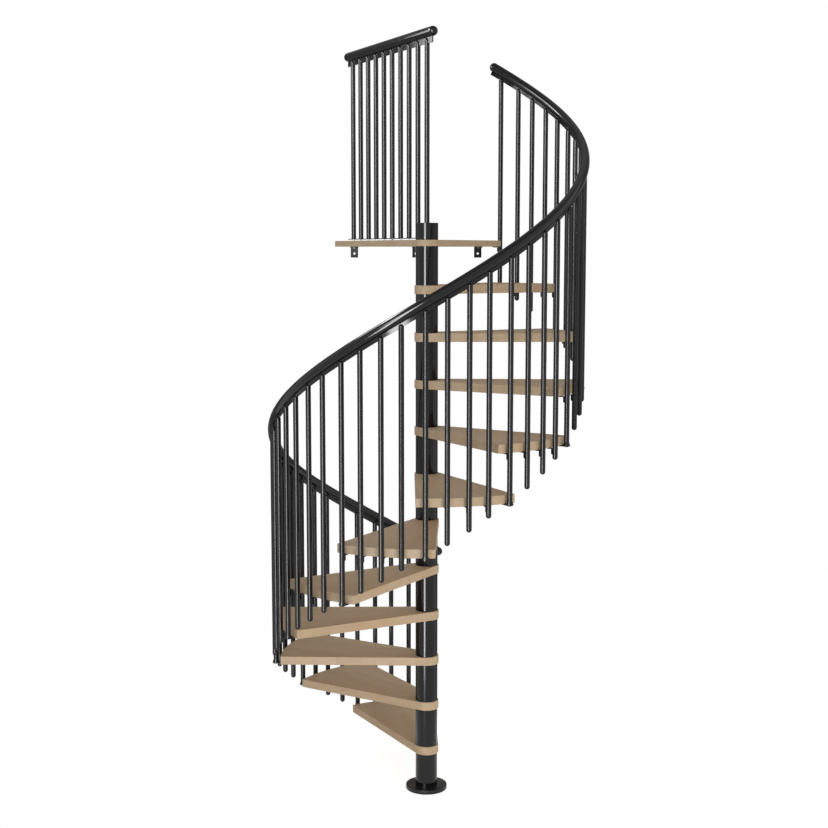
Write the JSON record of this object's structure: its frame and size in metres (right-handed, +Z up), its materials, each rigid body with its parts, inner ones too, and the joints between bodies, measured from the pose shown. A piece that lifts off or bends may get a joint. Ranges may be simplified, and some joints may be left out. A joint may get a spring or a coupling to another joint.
{
  "type": "spiral staircase",
  "caption": "Spiral staircase with timber treads on a black tubular column, hung balusters, a helical handrail and a triangular landing with its own railing.",
  "frame": {"origin": "on the floor, at the column axis, on the underside of the base flange", "axes": "+Z up along the column, +Y from the column to the landing's straight back edge, +X to the right of someone facing the landing"},
  "size_m": [1.4183, 1.521, 3.4249],
  "materials": {
    "beech": "glued beech staves under clear lacquer",
    "black_steel": "black powder coat, satin",
    "pole_steel": "plain primed steel, hidden in the column",
    "zinc_steel": "bright zinc-plated steel",
    "black_rail": "black extruded plastic"
  },
  "bodies": {
    "root": {"base_flange": "black_steel", "centre_pole": "pole_steel", "column_spacers": "black_steel", "column_head_tube": "black_steel", "tread_01": "beech", "tread_02": "beech", "tread_03": "beech", "tread_04": "beech", "tread_05": "beech", "tread_06": "beech", "tread_07": "beech", "tread_08": "beech", "tread_09": "beech", "tread_10": "beech", "tread_11": "beech", "landing_board": "beech", "balusters_01": "black_steel", "balusters_02": "black_steel", "balusters_03": "black_steel", "balusters_04": "black_steel", "balusters_05": "black_steel", "balusters_06": "black_steel", "balusters_07": "black_steel", "balusters_08": "black_steel", "balusters_09": "black_steel", "balusters_10": "black_steel", "balusters_11": "black_steel", "brackets_01": "black_steel", "brackets_02": "black_steel", "brackets_03": "black_steel", "brackets_04": "black_steel", "brackets_05": "black_steel", "brackets_06": "black_steel", "brackets_07": "black_steel", "brackets_08": "black_steel", "brackets_09": "black_steel", "brackets_10": "black_steel", "brackets_11": "black_steel", "landing_bracket": "black_steel", "spiral_handrail": "black_rail", "spiral_strip": "black_steel", "spiral_rail_ends": "black_rail", "landing_balusters": "black_steel", "landing_foot_bar": "black_steel", "landing_foot_studs": "zinc_steel", "landing_handrail": "black_rail", "landing_strip": "black_steel", "landing_rail_ends": "black_rail", "landing_angles": "black_steel"}
  },
  "joints": []
}
